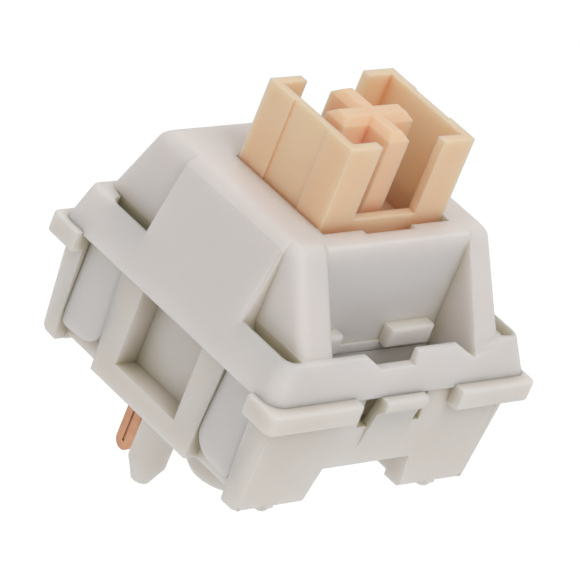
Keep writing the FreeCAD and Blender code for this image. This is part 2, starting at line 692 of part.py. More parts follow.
def latch_leg(sx, sy, tag):
    """A leg that reaches down in its bay beside the base, drawn in like the body, with a rounded end."""
    home = body("roof_leg_" + tag)
    near = "frame_half + latch_gap"
    far = f"{BAY_END} - latch_gap"
    top = "skirt_low + latch_seat"
    out = f"{BODY} - latch_out"
    low_out = f"{out} - ({top} - latch_low) * body_draft / (flange_top - leg_bottom)"
    base = frustum(
        "roof_leg_wedge_" + tag,
        span(sx, f"{BODY} - latch_in", low_out) + span(sy, near, far),
        span(sx, f"{BODY} - latch_in", out) + span(sy, near, far),
        ("latch_low", top),
        home,
    )
    low = evaluate("latch_low")

    def foot(middle, direction):
        return abs(middle.z - low) < 0.01 and abs(direction.x) > 0.9

    round_edges(home, base, "roof_leg_round_" + tag, f"({far} - ({near})) * latch_round", foot)
    return home


def top_housing():
    below = f"skirt_low - {OVER}"
    above = f"roof_top + {OVER}"
    front = ("-chamber_front", "chamber_rear")
    lower_y = ("-chamber_front", f"{SKIRT_REAR} - lower_rear")
    upper_y = ("chamber_rear - lap", f"{SKIRT_REAR} - contact_rear")
    away = [
        box("roof_chamber", both(f"{SKIRT_X} - chamber_in"), front, (below, "roof_bottom")),
        box("roof_lower", both(INNER_X), lower_y, (below, "lower_top")),
        box("roof_contact", both(f"{SKIRT_X} - contact_in"), upper_y, (below, "contact_top")),
        box("roof_window", both("window_x"), ("-window_front", "window_rear"), ("roof_bottom - lap", above)),
        box("roof_relief", both("relief_half"), ("-relief_front", "0"), ("roof_bottom - lap", above)),
        box("roof_lamp", both("slot_half"), (f"bar_thick - {SKIRT_FRONT}", "-slot_back"),
            (below, f"skirt_top + {OVER}")),
    ]
    away += bar_cuts()
    back = [
        lug("roof_lug_l", ("-lug_left_far", "-lug_left")),
        lug("roof_lug_r", ("lug_right", "lug_right_far")),
        box("roof_ledge", both("slot_half"), ("-slot_back - ledge", "lap - slot_back"), ("skirt_low", "ledge_top")),
    ]
    for sx, tx in SIDES:
        for sy, ty in ENDS:
            away.append(corner_recess(sx, sy, tx + ty))
            back.append(latch_leg(sx, sy, tx + ty))
            middle = f"{sy} * (frame_half + {BAY_END}) / 2"
            hook = (f"{middle} - catch_half + hook_gap", f"{middle} + catch_half - hook_gap")
            inner = f"{BODY} - latch_in"
            back.append(box("roof_hook_" + tx + ty, span(sx, f"{inner} - hook_reach", f"{inner} + lap"), hook,
                            ("hook_low", "hook_high")))
    solid = fuse("roof_solid", [top_core(), top_panel(), top_skirt()])
    return finish(fuse("roof_done", [cut("roof_shell", solid, away)] + back), "top_housing")


def stem():
    wall_in = "stem_x - stem_wall"
    solid = []
    away = []
    deck = "stem_deck - lap"
    for sx, tx in SIDES:
        solid.append(box("stem_side_" + tx, span(sx, wall_in, "stem_x"), both("stem_y"), (deck, "stem_top")))
        for sy, ty in ENDS:
            solid.append(box("stem_return_" + tx + ty, span(sx, "stem_tip", "stem_x"),
                             span(sy, "stem_y - stem_wall", "stem_y"), (deck, "stem_top")))
        away.append(box("stem_relief_" + tx, span(sx, "stem_x - stem_panel_depth", f"stem_x + {OVER}"),
                        both("stem_panel"), ("roof_bottom - stop_gap", f"stem_top + {OVER}")))
    for sy, ty in ENDS:
        solid.append(box("stem_bar_" + ty, both("stem_tip + lap"), span(sy, "stem_y - stem_wall", "stem_y"),
                         (deck, "stem_bar_top")))
    turn = "cross_top - cross_lead"
    for name, half_x, half_y in (("x", "cross_long_x", "cross_thick_y"), ("y", "cross_thick_x", "cross_long_y")):
        solid.append(box("stem_blade_" + name, both(half_x), both(half_y), (deck, turn)))
        low = (f"-({half_x})", half_x, f"-({half_y})", half_y)
        high = tuple(f"{edge} + cross_lead" if edge.startswith("-") else f"{edge} - cross_lead" for edge in low)
        solid.append(frustum("stem_lead_" + name, low, high, (turn, "cross_top")))
    solid.append(box("stem_shoulder", both("shoulder_x"), both("shoulder_y"), ("shoulder_low", "roof_bottom - stop_gap")))
    solid.append(box("stem_deck_plate", both("stem_x"), both("stem_y"), ("shoulder_low", "stem_deck")))
    solid.append(box("stem_slider", both("slider_x"), both("slider_y"), (SLIDER_LOW, "shoulder_low + lap")))
    for sx, tx in SIDES:
        solid.append(box("stem_rail_" + tx, span(sx, "slider_x - lap", "rail_reach"), both("rail_half"),
                         (SLIDER_LOW, "shoulder_low + lap")))
    away.append(cylinder("stem_well", "well_r", 0, 0, (f"{SLIDER_LOW} - {OVER}", "well_top")))
    shell = cut("stem_shell", fuse("stem_solid", solid), away)
    back = [cylinder("stem_pole", "pole_r", 0, 0, (POLE_END, "well_top + lap"))]
    for sx, tx in SIDES:
        middle = "cam_x" if sx > 0 else "-cam_x"
        outline = [
            ("slider_y - lap", "cam_low"),
            ("cam_reach - cam_slope", "cam_low"),
            ("cam_reach", "cam_low + cam_slope"),
            ("cam_reach", "cam_low + cam_slope + cam_nose"),
            ("slider_y - lap", "cam_high"),
        ]
        back.append(extrude("stem_cam_" + tx, outline, (f"{middle} - cam_half", f"{middle} + cam_half")))
    return finish(fuse("stem_done", [shell] + back), "stem")


def return_spring():
    """A helical spring round the tower, from the floor to the top of the stem's well."""
    helix = doc.addObject("Part::Helix", "spring_path")
    tall = "well_top - floor_top - 2 * wire_r - 2 * spring_seat"
    bind(helix, Radius="spring_r", Height=tall, Pitch=f"({tall}) / spring_turns")
    ring = doc.addObject("Part::RegularPolygon", "spring_wire")
    ring.Polygon = 6
    bind(ring, Circumradius="wire_r")
    ring.Placement = Placement(Vector(0, 0, 0), Rotation(Vector(1, 0, 0), 90))
    put(ring, "spring_r", 0, 0)
    coil = doc.addObject("Part::Sweep", "spring_coil")
    coil.Sections = [ring]
    coil.Spine = (helix, [])
    coil.Solid = True
    coil.Frenet = True
    put(coil, 0, 0, "floor_top + wire_r + spring_seat")
    return finish(coil, "return_spring")


def fixed_contact():
    back = "plate_y + sheet"
    pin_x = ("-fixed_x - pin_thick / 2", "-fixed_x + pin_thick / 2")
    pin_y = ("fixed_y - pin_wide / 2", "fixed_y + pin_wide / 2")
    whole = fuse("fixed_solid", [
        box("fixed_pin", pin_x, pin_y, ("pin_wide / 2 - pin_end", "wing_top")),
        round_pin("fixed_pin_end", "-fixed_x - pin_thick / 2", "fixed_y", False),
        box("fixed_bend", ("-fixed_x - pin_thick / 2", "-fixed_x - pin_thick / 2 + sheet"),
            ("fixed_y", back), ("wing_low", "wing_top")),
        box("fixed_wing", ("-fixed_x - pin_thick / 2", "plate_half"), ("plate_y", back), ("wing_low", "wing_top")),
        box("fixed_plate", both("plate_half"), ("plate_y", back), ("wing_low", "plate_top")),
    ])
    outer = "-fixed_x - pin_thick / 2"
    groove = box("fixed_groove", (f"{outer} - {OVER}", f"{outer} + pin_groove"),
                 ("fixed_y - groove_half", "fixed_y + groove_half"), ("groove_start - pin_end", "leg_bottom"))
    return finish(cut("fixed_done", whole, [groove]), "fixed_contact")


def round_pin(name, x, y, along_x):
    """The rounded end of a pin: a disc across its thickness."""
    disc = doc.addObject("Part::Cylinder", name)
    bind(disc, Radius="pin_wide / 2", Height="pin_thick")
    axis = Vector(0, 1, 0) if not along_x else Vector(1, 0, 0)
    turn = 90 if not along_x else -90
    disc.Placement = Placement(Vector(0, 0, 0), Rotation(axis, turn))
    put(disc, x, y, "pin_wide / 2 - pin_end")
    return disc


def moving_contact():
    pin_x = ("moving_x - pin_wide / 2", "moving_x + pin_wide / 2")
    pin_y = ("moving_y - pin_thick / 2", "moving_y + pin_thick / 2")
    arm_back = "arm_y + leaf"
    strip_back = "back_y + leaf"
    fold = ("-fold_x - leaf", "-fold_x")
    whole = fuse("moving_solid", [
        box("moving_pin", pin_x, pin_y, ("pin_wide / 2 - pin_end", "wing_top")),
        round_pin("moving_pin_end", "moving_x", "moving_y - pin_thick / 2", True),
        box("moving_foot", pin_x, ("moving_y", strip_back), ("wing_low", "wing_top")),
        box("moving_post", pin_x, ("back_y", strip_back), ("wing_low", "arm_top")),
        box("moving_strip", ("-fold_x - leaf", "moving_x + pin_wide / 2"), ("back_y", strip_back),
            ("arm_low", "arm_top")),
        box("moving_fold", fold, ("arm_y", strip_back), ("arm_low", "arm_top")),
        box("moving_arm", ("-fold_x - leaf", "arm_end"), ("arm_y", arm_back), ("arm_low", "arm_top")),
    ] + [
        box("moving_prong_" + tx, (f"{sx} * cam_x - prong_half", f"{sx} * cam_x + prong_half"),
            ("prong_y", arm_back), ("arm_top - prong_high", "arm_top"))
        for sx, tx in SIDES
    ])
    return finish(whole, "moving_contact")


def contact_point(label, y, turn):
    """A small contact button welded to a strip, pointing along Y, a little narrower at its face."""
    disc = doc.addObject("Part::Cone", label + "_disc")
    bind(disc, Radius1="point_r", Radius2="point_r * point_tip", Height="point_high")
    disc.Placement = Placement(Vector(0, 0, 0), Rotation(Vector(1, 0, 0), turn))
    put(disc, 0, y, "point_z")
    return finish(disc, label)


parts = [
    bottom_housing(),
    top_housing(),
    stem(),
    return_spring(),
    fixed_contact(),
    moving_contact(),
    contact_point("fixed_contact_point", "plate_y + sheet", -90),
    contact_point("moving_contact_point", "arm_y", 90),
]
doc.recompute()

for thing in doc.Objects:
    bad = [word for word in thing.State if word in ("Invalid", "Error")]
    if bad:
        raise RuntimeError(f"{thing.Name}: {bad}")

os.makedirs("parts", exist_ok=True)
for thing in parts:
    shape = thing.Shape
    if shape.isNull() or not shape.isValid():
        raise RuntimeError(f"{thing.Label}: no valid shape")
    shape.exportStep(f"parts/{thing.Label}.step")
    box_now = shape.BoundBox
    print(thing.Label, len(shape.Solids), round(shape.Volume, 2),
          [round(v, 2) for v in (box_now.XMin, box_now.XMax, box_now.YMin, box_now.YMax, box_now.ZMin, box_now.ZMax)])
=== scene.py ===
import math

import bmesh
import bpy
from mathutils import Matrix, Vector


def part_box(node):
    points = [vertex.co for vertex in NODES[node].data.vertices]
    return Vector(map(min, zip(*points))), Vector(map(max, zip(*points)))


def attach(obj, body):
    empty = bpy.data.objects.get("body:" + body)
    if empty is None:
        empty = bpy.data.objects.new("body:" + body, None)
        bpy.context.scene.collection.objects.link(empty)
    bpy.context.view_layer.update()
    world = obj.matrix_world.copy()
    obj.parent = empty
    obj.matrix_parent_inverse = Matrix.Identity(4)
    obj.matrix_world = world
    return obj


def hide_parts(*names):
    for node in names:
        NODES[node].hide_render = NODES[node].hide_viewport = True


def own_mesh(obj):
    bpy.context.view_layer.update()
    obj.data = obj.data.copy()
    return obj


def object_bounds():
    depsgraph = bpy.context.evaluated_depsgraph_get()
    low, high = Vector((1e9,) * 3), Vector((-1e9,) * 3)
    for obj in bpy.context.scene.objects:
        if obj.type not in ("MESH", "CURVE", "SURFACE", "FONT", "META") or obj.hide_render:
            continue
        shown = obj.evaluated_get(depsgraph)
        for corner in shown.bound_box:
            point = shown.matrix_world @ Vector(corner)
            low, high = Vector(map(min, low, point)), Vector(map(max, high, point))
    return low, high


# Studio picture of a keyboard switch, in metres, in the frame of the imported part.

MM = 0.001

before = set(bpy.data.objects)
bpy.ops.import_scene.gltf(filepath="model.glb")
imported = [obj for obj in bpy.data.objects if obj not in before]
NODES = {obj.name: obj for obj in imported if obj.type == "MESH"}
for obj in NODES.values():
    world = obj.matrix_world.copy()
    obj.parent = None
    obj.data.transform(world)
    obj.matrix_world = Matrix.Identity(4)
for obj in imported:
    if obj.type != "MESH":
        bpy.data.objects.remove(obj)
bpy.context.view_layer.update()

# Camera: where it stands round the switch, how it is rolled, and how long its lens is.
PICTURE_PIXELS = 580
CAMERA_AZIMUTH = math.radians(-51.02)
CAMERA_ELEVATION = math.radians(27.0)
CAMERA_ROLL = math.radians(22.39)
CAMERA_DISTANCE = 225.45 * MM
CAMERA_AIM = Vector((-0.257, 0.21, 6.172)) * MM
CAMERA_NEAR = 0.01
CAMERA_FAR = 20.0
FOCAL_PIXELS = 5290.0
SENSOR_MM = 36.0

# Studio: how far the floor lies under the switch, half its side in metres, and the levels of light.
FLOOR_DROP = 45 * MM
FLOOR_HALF = 3.0
FLOOR_GREY = (0.80, 0.80, 0.80)
FLOOR_ROUGHNESS = 0.9
WHITE = (1.0, 1.0, 1.0)
WORLD_LIGHT = 0.635
FLOOR_GLOW = 0.26

# Each lamp: azimuth and elevation in degrees, distance and width in metres,
# and the level it gives a face turned to it.
LAMPS = [
    ("key", -8.0, 52.0, 0.45, 0.34, 0.36),
    ("side", -100.0, 25.0, 0.45, 0.34, 0.12),
    ("back", 150.0, 40.0, 0.50, 0.34, 0.12),
]

# Materials: noise scales are per metre.
NOISE_BAND = (0.3, 0.7)
# Painted shade: the ambient occlusion range and samples that lay the painted shade colour into recesses.
PAINTED_SHADE_BAND = (0.1, 0.8)
PAINTED_SHADE_SAMPLES = 8
EDGE_SAMPLES = 6
GRAIN_DETAIL = 4.0
GRAIN_STRENGTH = 0.35
PLASTIC_CLOUD = 260.0
PLASTIC_SHEEN = 900.0
PLASTIC_SPREAD = 0.06
PLASTIC_GRAIN = 5200.0
PLASTIC_GRAIN_HEIGHT = 0.004 * MM
PLASTIC_SCATTER = (1.0, 0.97, 0.93)
PLASTIC_SCATTER_SHARE = 0.9
PLASTIC_IOR = 1.49
PLASTIC_SPECULAR = 0.35
METAL_STAIN = 700.0
METAL_SPREAD = 0.08
METAL_EDGE = 0.05 * MM
METAL_GRAIN = 9000.0
METAL_GRAIN_HEIGHT = 0.002 * MM

# Faces of the solids, in millimetres: half width at the foot, and what it gains up to the top.
TOWER_Z = (6.75, 11.6)
TOWER_SIDE = (5.55, -0.13)
TOWER_REAR = (6.65, -1.3)
TOWER_FRONT = (6.9, -2.95)
TOWER_CORNER = 0.85
SKIRT_Z = (6.0, 7.75)
SKIRT_SIDE = (7.5, -0.65)
SKIRT_REAR = (7.35, -0.5)
SKIRT_FRONT = (7.25, -0.5)
SKIRT_CORNER = 1.0
LEG_TOP = 6.0
LEG_TALL = 4.4
LEG_EDGES = (3.65, 5.9)
LEG_CORNER = 0.945
LEG_CORNER_Y = 4.95
LEG_CORNER_Z = 2.545
BODY_Z = (0.5, 5.0)
BODY_WALL = (6.71, 0.28)
GROOVE_X = (6.44, 6.72)
GROOVE_DEPTH = (0.07, 0.13)

# How the two shells differ from their solids, in millimetres. A corner's power is 2 where it stays
# round and goes up as it gets crisper. A reach is where a change starts and where it is full.
TOWER_POWERS = {"rear": 5.0, "front": 3.5}
TOWER_WIDER = 0.48
TOWER_WIDER_RIGHT = 0.384
TOWER_RIGHT_TOP_IN = 0.15
TOWER_SIDE_REACH = (4.3, 5.0)
REAR_FOOT_OUT = 0.6
REAR_REACH = (4.4, 5.6)
FIN_FOOT_OUT = 0.2
FIN_FOOT_REACH = (5.2, 6.0)
FIN_FOOT_Z = (7.6, 8.6)
FIN_FOOT_BLEND = 0.9
FIN_FOOT_END = -6.45
SKIRT_POWERS = {"rear": 5.0, "front_right": 3.5, "front_left": 2.5}
SKIRT_REAR_TOP_OUT = 0.25
SKIRT_REAR_REACH = (6.0, 6.5)
SKIRT_FLARE = 0.22
SKIRT_FLARE_REACH = (6.3, 6.8)
SKIRT_SUNK = 0.12
SKIRT_SUNK_Z = 6.3
SKIRT_SUNK_BLEND = 0.25
RIM_END_X = (4.2, 4.3)
RIM_END_LOWER = 0.45
RIM_END_REACH = (6.48, 6.7)
LEG_POWER = 6.0
LEG_FOOT_OUT = 0.11
LEG_OUT = 0.09
LEG_EDGE_IN = 0.24
LEG_LOWER = 0.3
BODY_OUT = 0.2
BODY_FOOT_IN = 0.04
BODY_OUTER = 6.4
GROOVE_FILL = 0.075
BODY_WITHIN = 7.2
FEET_LOWER = 0.1
FEET_BELOW_Z = 0.65
FEET_BLEND_Z = 0.7
FEET_BLEND = 0.2

# Where one part of the upper housing ends and the next starts, in millimetres.
RIM_END_Y = -6.5
RIM_END_Z = 7.3
TOWER_FROM_Z = 6.8
TOWER_WITHIN_X = 5.6
PANEL_FROM_Z = 7.8
SKIRT_FROM_Z = 5.99
SKIRT_BEYOND_X = 5.6
SKIRT_BEYOND_Y = 6.3
LEG_BELOW_Z = 5.9
LEG_BEYOND_X = 6.2
LEG_OUTER_X = 6.6
LEG_CORNER_BELOW_Z = 2.6

# An edge is crisp from this angle on, and mesh points nearer than this are one.
SHARP = math.radians(50.0)
SAME_POINT = 0.0005 * MM

# The return spring: the radii of its coil and wire, how far it ends from its solid's ends, its turns
# and how many of them are closed at each end.
SPRING_RADIUS = 1.95 * MM
SPRING_WIRE = 0.12 * MM
SPRING_END = 0.1 * MM
SPRING_TURNS = 9
SPRING_CLOSED = 1.25


def new_material(name):
    """A material with an empty node tree but for its output and one Principled shader."""
    material = bpy.data.materials.new(name)
    material.use_nodes = True
    tree = material.node_tree
    tree.nodes.clear()
    output = tree.nodes.new("ShaderNodeOutputMaterial")
    shader = tree.nodes.new("ShaderNodeBsdfPrincipled")
    tree.links.new(shader.outputs["BSDF"], output.inputs["Surface"])
    return material, tree, shader


def noise(tree, scale, detail=3.0):
    """Noise in the piece's own metres, so that it keeps its size on every piece."""
    place = tree.nodes.new("ShaderNodeTexCoord")
    node = tree.nodes.new("ShaderNodeTexNoise")
    node.inputs["Scale"].default_value = scale
    node.inputs["Detail"].default_value = detail
    node.inputs["Roughness"].default_value = 0.5
    tree.links.new(place.outputs["Object"], node.inputs["Vector"])
    return node.outputs["Fac"]


def spread(tree, value, low, high, band=NOISE_BAND):
    """A value that runs over band, spread over low to high."""
    node = tree.nodes.new("ShaderNodeMapRange")
    node.inputs["From Min"].default_value = band[0]
    node.inputs["From Max"].default_value = band[1]
    node.inputs["To Min"].default_value = low
    node.inputs["To Max"].default_value = high
    tree.links.new(value, node.inputs["Value"])
    return node.outputs["Result"]


def mix(tree, factor, first, second):
    """A colour between two others, each a link or three numbers."""
    node = tree.nodes.new("ShaderNodeMix")
    node.data_type = "RGBA"
    tree.links.new(factor, node.inputs["Factor"])
    for socket, colour in ((node.inputs["A"], first), (node.inputs["B"], second)):
        if isinstance(colour, tuple):
            socket.default_value = (*colour, 1.0)
        else:
            tree.links.new(colour, socket)
    return node.outputs["Result"]


def painted_shade_mask(tree, distance):
    """Mask for painted shade: 0 deep in recesses, where shade is painted, and 1 on open faces."""
    painted_shade = tree.nodes.new("ShaderNodeAmbientOcclusion")
    painted_shade.samples = PAINTED_SHADE_SAMPLES
    painted_shade.inputs["Distance"].default_value = distance
    return spread(tree, painted_shade.outputs["AO"], 0.0, 1.0, PAINTED_SHADE_BAND)


def surface(tree, shader, edge_radius, grain_scale, grain_height):
    """Softly rounded edges with a fine grain over them."""
    edge = tree.nodes.new("ShaderNodeBevel")
    edge.samples = EDGE_SAMPLES
    edge.inputs["Radius"].default_value = edge_radius
    bump = tree.nodes.new("ShaderNodeBump")
    bump.inputs["Strength"].default_value = GRAIN_STRENGTH
    bump.inputs["Distance"].default_value = grain_height
    tree.links.new(noise(tree, grain_scale, GRAIN_DETAIL), bump.inputs["Height"])
    tree.links.new(edge.outputs["Normal"], bump.inputs["Normal"])
    tree.links.new(bump.outputs["Normal"], shader.inputs["Normal"])


def uneven_roughness(tree, shader, scale, roughness, step):
    """Roughness that varies by step to either side."""
    rough = spread(tree, noise(tree, scale), roughness - step, roughness + step)
    tree.links.new(rough, shader.inputs["Roughness"])


def moulded_plastic(name, light, warm, painted_shade, reach, roughness, depth, edge_radius):
    """Slightly translucent moulded plastic: light on open faces, with painted shade, a darker colour laid into
    its recesses by ambient occlusion.
    """
    material, tree, shader = new_material(name)
    cloud = spread(tree, noise(tree, PLASTIC_CLOUD), 0.0, 1.0)
    face = mix(tree, cloud, light, warm)
    # Painted shade: the colour turns from the face colour to the painted shade colour in recesses, found by
    # ambient occlusion.
    colour = mix(tree, painted_shade_mask(tree, reach), painted_shade, face)
    tree.links.new(colour, shader.inputs["Base Color"])
    uneven_roughness(tree, shader, PLASTIC_SHEEN, roughness, PLASTIC_SPREAD)
    shader.inputs["Subsurface Weight"].default_value = PLASTIC_SCATTER_SHARE
    shader.inputs["Subsurface Scale"].default_value = depth
    shader.inputs["Subsurface Radius"].default_value = PLASTIC_SCATTER
    shader.inputs["IOR"].default_value = PLASTIC_IOR
    shader.inputs["Specular IOR Level"].default_value = PLASTIC_SPECULAR
    surface(tree, shader, edge_radius, PLASTIC_GRAIN, PLASTIC_GRAIN_HEIGHT)
    return material


def rolled_metal(name, light, dark, roughness, brush):
    """Bare metal with fine marks and a little tarnish."""
    material, tree, shader = new_material(name)
    stain = spread(tree, noise(tree, METAL_STAIN), 0.0, 1.0)
    tree.links.new(mix(tree, stain, light, dark), shader.inputs["Base Color"])
    shader.inputs["Metallic"].default_value = 1.0
    uneven_roughness(tree, shader, brush, roughness, METAL_SPREAD)
    surface(tree, shader, METAL_EDGE, METAL_GRAIN, METAL_GRAIN_HEIGHT)
    return material


def dress(node, material):
    """Puts a material on a whole CAD node."""
    mesh = NODES[node].data
    mesh.materials.clear()
    mesh.materials.append(material)


def ramp(value, start, end):
    """0 up to start and 1 from end on."""
    return min(max((value - start) / (end - start), 0.0), 1.0)


def outward(value, amount):
    """A coordinate moved away from the middle."""
    return value + math.copysign(amount, value)


def leaning(face, rise):
    """Where a leaning face stands, rise of the way from its foot to its top."""
    foot, gain = face
    return foot + gain * rise


def squarer(across, along, radius, power):
    """Moves a point of a quarter circle, given from its middle, towards the square's corner."""
    far = math.hypot(across, along)
    if across <= 0.0 or along <= 0.0 or not 0.5 * radius < far < 1.06 * radius:
        return across, along
    grow = far / (across ** power + along ** power) ** (1.0 / power)
    return across * grow, along * grow


def sharper_corner(x, y, side, end, radius, power):
    """Makes the rounded upright corner at (side, end) crisper."""
    across, along = squarer(abs(x) - side + radius, abs(y) - end + radius, radius, power)
    if across <= 0.0 or along <= 0.0:
        return x, y
    return math.copysign(side - radius + across, x), math.copysign(end - radius + along, y)


def tower_form(x, y, z):
    """The tower: wider, with crisper corners, a rear foot further back and the fins' feet further out."""
    low, high = TOWER_Z
    rise = (z - low) / (high - low)
    end = leaning(TOWER_REAR if y > 0 else TOWER_FRONT, rise)
    power = TOWER_POWERS["rear" if y > 0 else "front"]
    x, y = sharper_corner(x, y, leaning(TOWER_SIDE, rise), end, TOWER_CORNER, power)
    y = y + REAR_FOOT_OUT * (1.0 - rise) * ramp(y, *REAR_REACH)
    if z > FIN_FOOT_Z[0] and y > FIN_FOOT_END:
        y = y - FIN_FOOT_OUT * ramp(FIN_FOOT_Z[1] - z, 0.0, FIN_FOOT_BLEND) * ramp(-y, *FIN_FOOT_REACH)
    wider = TOWER_WIDER if x < 0 else TOWER_WIDER_RIGHT - TOWER_RIGHT_TOP_IN * rise
    return outward(x, wider * ramp(abs(x), *TOWER_SIDE_REACH)), y, z


def panel_form(x, y, z):
    """The side panels: wider with the tower that they stand against."""
    rise = ramp(z, SKIRT_Z[0], TOWER_Z[1])
    return outward(x, TOWER_WIDER * rise * ramp(abs(x), *TOWER_SIDE_REACH)), y, z


def skirt_form(x, y, z):
    """The skirt: crisper corners, a rear face that leans less, a right face that leans more, no slit below."""
    low, high = SKIRT_Z
    rise = (z - low) / (high - low)
    side = leaning(SKIRT_SIDE, rise)
    if y > 0:
        end, power = leaning(SKIRT_REAR, rise), SKIRT_POWERS["rear"]
    else:
        end, power = leaning(SKIRT_FRONT, rise), SKIRT_POWERS["front_right" if x > 0 else "front_left"]
    x, y = sharper_corner(x, y, side, end, SKIRT_CORNER, power)
    y = y + SKIRT_REAR_TOP_OUT * rise * ramp(y, *SKIRT_REAR_REACH)
    x = x + SKIRT_FLARE * (1.0 - rise) * ramp(x, *SKIRT_FLARE_REACH)
    return x, y, z - SKIRT_SUNK * ramp(SKIRT_SUNK_Z - z, 0.0, SKIRT_SUNK_BLEND)


def leg_form(x, y, z):
    """A latch leg: nearly flush, one edge along the side frame, its other lower corner nearly square."""
    down = (LEG_TOP - z) / LEG_TALL
    share = ramp(abs(y), *LEG_EDGES)
    if share > 0.5 and z < LEG_CORNER_BELOW_Z:
        across, along = squarer(abs(y) - LEG_CORNER_Y, LEG_CORNER_Z - z, LEG_CORNER, LEG_POWER)
        y = math.copysign(LEG_CORNER_Y + across, y)
        z = LEG_CORNER_Z - along
    if abs(x) > LEG_OUTER_X:
        x = outward(x, LEG_OUT + LEG_FOOT_OUT * down)
    y = math.copysign(abs(y) - LEG_EDGE_IN * down * (1.0 - share), y)
    return x, y, z - LEG_LOWER * down * share


def roof_form(point):
    """Moves a point of the upper housing by the form of the part of it where the point lies."""
    x, y, z = point
    if RIM_END_X[0] < x < RIM_END_X[1] and y < RIM_END_Y and z > RIM_END_Z:
        return x, y, z - RIM_END_LOWER * ramp(-y, *RIM_END_REACH)
    if z > TOWER_FROM_Z and abs(x) < TOWER_WITHIN_X:
        return tower_form(x, y, z)
    if z > PANEL_FROM_Z:
        return panel_form(x, y, z)
    if z > SKIRT_FROM_Z and (abs(x) > SKIRT_BEYOND_X or abs(y) > SKIRT_BEYOND_Y):
        return skirt_form(x, y, z)
    if z < LEG_BELOW_Z and abs(x) > LEG_BEYOND_X:
        return leg_form(x, y, z)
    return x, y, z


def base_form(point):
    """The lower housing: walls further out, softer grooves beside the corners and lower corner feet."""
    x, y, z = point
    low, high = BODY_Z
    if low - 0.01 < z < high + 0.01 and max(abs(x), abs(y)) < BODY_WITHIN:
        push = BODY_OUT - BODY_FOOT_IN * (high - z) / (high - low)
        depth = leaning(BODY_WALL, (z - low) / (high - low)) - abs(y)
        if GROOVE_X[0] < abs(x) < GROOVE_X[1] and GROOVE_DEPTH[0] < depth < GROOVE_DEPTH[1]:
            y = outward(y, GROOVE_FILL)
        if abs(x) > BODY_OUTER:
            x = outward(x, push)
        if abs(y) > BODY_OUTER:
            y = outward(y, push)
    if low - 0.01 < z < FEET_BELOW_Z:
        z = z - FEET_LOWER * ramp(FEET_BLEND_Z - z, 0.0, FEET_BLEND)
    return x, y, z


def mesh_piece(name, mesh, material):
    """Makes a finished mesh into a piece of one material."""
    data = bpy.data.meshes.new(name)
    mesh.to_mesh(data)
    mesh.free()
    data.materials.append(material)
    piece = bpy.data.objects.new(name, data)
    bpy.context.scene.collection.objects.link(piece)
    return piece


def reshaped(node, name, material, form):
    """A copy of a CAD node's mesh with each point moved by form, in millimetres, in place of the node."""
    source = NODES[node]
    place = source.matrix_world
    mesh = bmesh.new()
    points = [mesh.verts.new(place @ vertex.co) for vertex in source.data.vertices]
    for face in source.data.polygons:
        corners = [points[i] for i in face.vertices]
        if len(set(corners)) > 2:
            mesh.faces.new(corners)
    bmesh.ops.remove_doubles(mesh, verts=mesh.verts, dist=SAME_POINT)
    for vertex in mesh.verts:
        vertex.co = Vector(form(vertex.co / MM)) * MM
    mesh.normal_update()
    for face in mesh.faces:
        face.smooth = True
    for edge in mesh.edges:
        edge.smooth = len(edge.link_faces) == 2 and edge.calc_face_angle() < SHARP
    piece = mesh_piece(name, mesh, material)
    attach(piece, "housing")
    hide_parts(node)


def coil(name, material, radius, wire, low, high, turns, sides=12, steps=40):
    """A wound spring with closed ends."""
    mesh = bmesh.new()
    rise = high - low - 4 * wire
    rings = []
    for i in range(turns * steps + 1):
        turn = i / steps
        share = ramp(turn, SPRING_CLOSED, turns - SPRING_CLOSED)
        closing = min(turn, SPRING_CLOSED) + max(turn - turns + SPRING_CLOSED, 0.0)
        height = low + wire + wire * closing / SPRING_CLOSED + share * rise
        angle = 2 * math.pi * turn
        out = Vector((math.cos(angle), math.sin(angle), 0))
        middle = out * radius + Vector((0, 0, height))
        ring = []
        for k in range(sides):
            side = 2 * math.pi * k / sides
            rim = out * (wire * math.cos(side)) + Vector((0, 0, wire * math.sin(side)))
            ring.append(mesh.verts.new(middle + rim))
        rings.append(ring)
    for one, two in zip(rings, rings[1:]):
        for k in range(sides):
            mesh.faces.new((one[k], one[(k + 1) % sides], two[(k + 1) % sides], two[k]))
    mesh.faces.new(rings[0][::-1])
    mesh.faces.new(rings[-1])
    for face in mesh.faces:
        face.smooth = True
    return mesh_piece(name, mesh, material)


def add_spring(material):
    """The return spring, a wound coil drawn between the ends of the CAD spring in its place."""
    low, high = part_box("return_spring")
    foot, top = low.z + SPRING_END, high.z - SPRING_END
    piece = coil("wound_spring", material, SPRING_RADIUS, SPRING_WIRE, foot, top, SPRING_TURNS)
    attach(piece, "housing")
    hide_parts("return_spring")
    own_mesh(piece)


